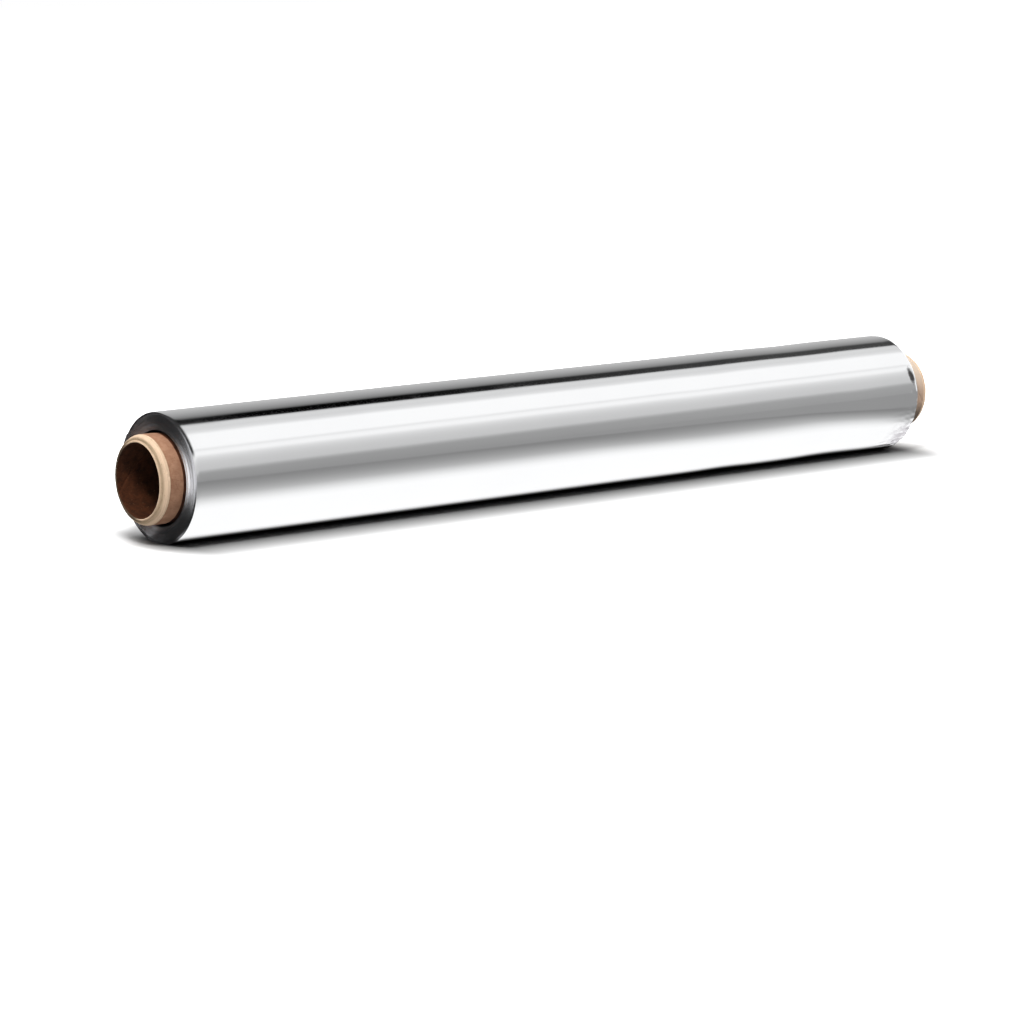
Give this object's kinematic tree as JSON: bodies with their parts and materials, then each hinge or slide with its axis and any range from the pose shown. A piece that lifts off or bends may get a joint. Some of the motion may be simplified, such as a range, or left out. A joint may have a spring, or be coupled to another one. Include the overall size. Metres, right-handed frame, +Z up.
{
  "type": "aluminium foil roll",
  "caption": "Kitchen foil roll: shiny aluminium foil wound on a thick card core that shows past the foil at each end, lying on its side.",
  "frame": {"origin": "on the surface that the roll lies on, below the middle of the card core", "axes": "+X along the roll, from the end where the core stands out least to the other end; +Z up, away from the flat spot"},
  "size_m": [0.3194, 0.0395, 0.0391],
  "materials": {
    "core_card": "matt",
    "foil": "bright rolled"
  },
  "bodies": {
    "root": {"card_core": "core_card", "wound_foil": "foil"}
  },
  "joints": []
}
